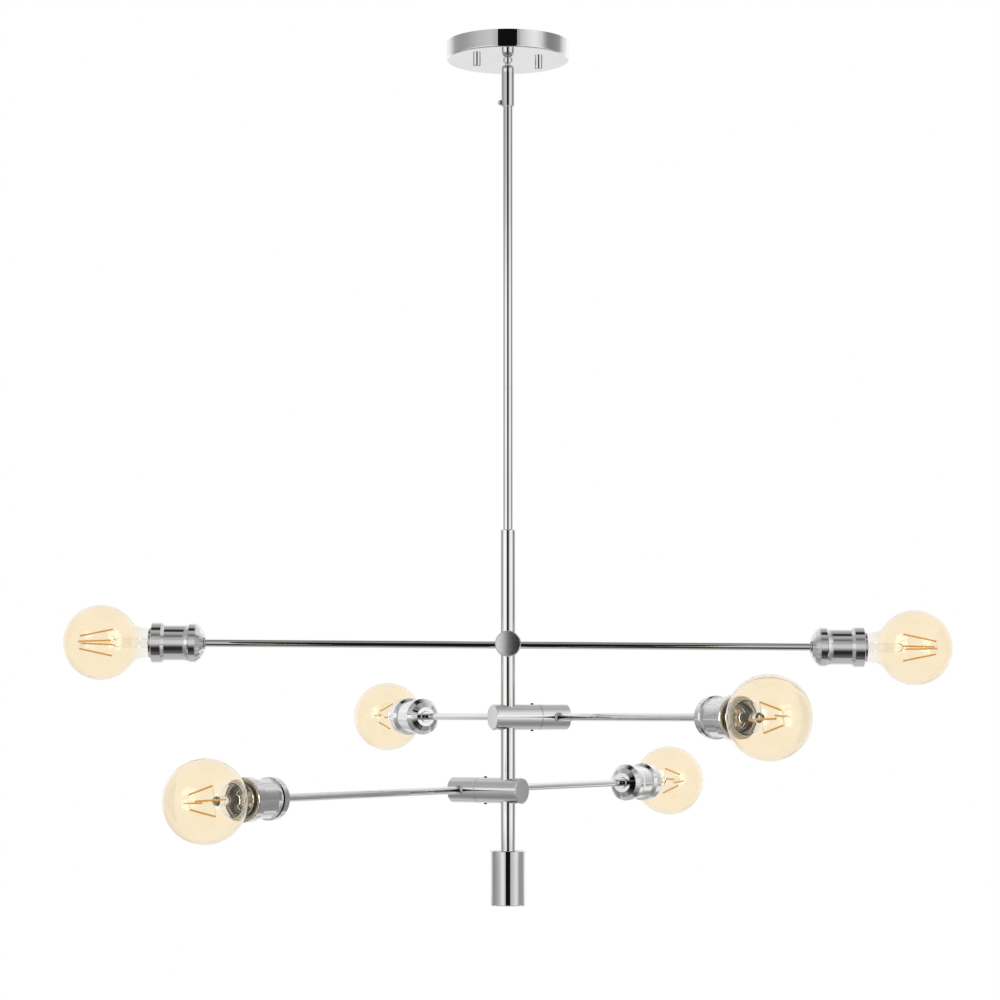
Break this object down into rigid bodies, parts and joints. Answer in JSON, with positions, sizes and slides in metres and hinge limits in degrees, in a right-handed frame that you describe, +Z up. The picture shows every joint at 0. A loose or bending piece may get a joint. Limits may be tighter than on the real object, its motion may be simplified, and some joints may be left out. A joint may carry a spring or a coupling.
{
  "type": "multi arm chandelier",
  "caption": "Ceiling chandelier with swivelling stem and double-ended adjustable arms, a screw lamp holder and globe filament bulb at each end.",
  "frame": {"origin": "centre of the ceiling plane over the stem, between the two ceiling screw holes of the bracket", "axes": "+Z up into the ceiling, the stem hangs along -Z; +X to the right along the top arm as seen from the front; +Y away from the viewer"},
  "size_m": [0.948, 0.8601, 0.9096],
  "materials": {
    "chrome": "polished chrome plate",
    "zinc": "zinc-plated steel",
    "dark_steel": "blackened steel",
    "ground_green": "green lacquered steel",
    "bearing_plastic": "natural bearing plastic",
    "insulator_cream": "cream glazed insulator",
    "brass": "plain brass",
    "bulb_cap": "plain aluminium with a dark glass insulator",
    "amber_glass": "thin amber glass",
    "clear_glass": "clear glass with steel wires",
    "filament": "phosphor coating, orange yellow"
  },
  "bodies": {
    "mount": {"ceiling_bracket": "zinc", "ground_screw": "ground_green", "canopy_studs": "zinc", "stud_nuts": "zinc", "canopy": "chrome", "canopy_nuts": "chrome", "ball_stem": "chrome", "stem_nut": "zinc"},
    "swivel": {"swivel_ring": "bearing_plastic"},
    "stem": {"swivel_housing": "chrome", "rod_collar": "chrome", "rod_set_screw": "chrome", "upper_rod": "chrome", "rod_coupling": "brass", "lower_rod": "chrome", "sleeve_cap": "chrome", "hub_pipe": "zinc", "long_sleeve": "chrome", "short_sleeves": "chrome", "hub_washers": "bearing_plastic", "finial": "chrome"},
    "hub_top": {"top_hub": "chrome", "top_hub_screws": "dark_steel"},
    "hub_middle": {"middle_hub": "chrome", "middle_hub_screws": "dark_steel"},
    "hub_low": {"low_hub": "chrome", "low_hub_screws": "dark_steel"},
    "arm_top": {"top_carrier": "chrome", "top_arms": "chrome", "top_flanges": "chrome", "top_cones": "chrome", "top_shells": "chrome", "top_insulators": "insulator_cream", "top_contacts": "brass", "top_bulb_caps": "bulb_cap", "top_globes": "amber_glass", "top_mounts": "clear_glass", "top_filaments": "filament"},
    "arm_middle": {"middle_carrier": "chrome", "middle_arms": "chrome", "middle_flanges": "chrome", "middle_cones": "chrome", "middle_shells": "chrome", "middle_insulators": "insulator_cream", "middle_contacts": "brass", "middle_bulb_caps": "bulb_cap", "middle_globes": "amber_glass", "middle_mounts": "clear_glass", "middle_filaments": "filament"},
    "arm_low": {"low_carrier": "chrome", "low_arms": "chrome", "low_flanges": "chrome", "low_cones": "chrome", "low_shells": "chrome", "low_insulators": "insulator_cream", "low_contacts": "brass", "low_bulb_caps": "bulb_cap", "low_globes": "amber_glass", "low_mounts": "clear_glass", "low_filaments": "filament"}
  },
  "joints": [
    {"name": "swivel_tilt_x", "type": "hinge", "parent": "mount", "child": "swivel", "pos_m": [0, 0, -0.0294], "axis": [1, 0, 0], "range_deg": [-10, 10]},
    {"name": "swivel_tilt_y", "type": "hinge", "parent": "swivel", "child": "stem", "pos_m": [0, 0, -0.0294], "axis": [0, 1, 0], "range_deg": [-10, 10]},
    {"name": "top_hub_turn", "type": "hinge", "parent": "stem", "child": "hub_top", "pos_m": [0, 0, -0.6382], "axis": [0, 0, 1], "range_deg": [-25, 25]},
    {"name": "top_arm_tilt", "type": "hinge", "parent": "hub_top", "child": "arm_top", "pos_m": [0, 0, -0.6382], "axis": [0, 1, 0], "range_deg": [-30, 30]},
    {"name": "middle_hub_turn", "type": "hinge", "parent": "stem", "child": "hub_middle", "pos_m": [0, 0, -0.7146], "axis": [0, 0, 1], "range_deg": [-25, 25]},
    {"name": "middle_arm_tilt", "type": "hinge", "parent": "hub_middle", "child": "arm_middle", "pos_m": [0, 0, -0.7146], "axis": [0.8988, 0.4384, 0], "range_deg": [-30, 30]},
    {"name": "low_hub_turn", "type": "hinge", "parent": "stem", "child": "hub_low", "pos_m": [0, 0, -0.791], "axis": [0, 0, 1], "range_deg": [-25, 25]},
    {"name": "low_arm_tilt", "type": "hinge", "parent": "hub_low", "child": "arm_low", "pos_m": [0, 0, -0.791], "axis": [-0.8387, 0.5446, 0], "range_deg": [-30, 30]}
  ]
}
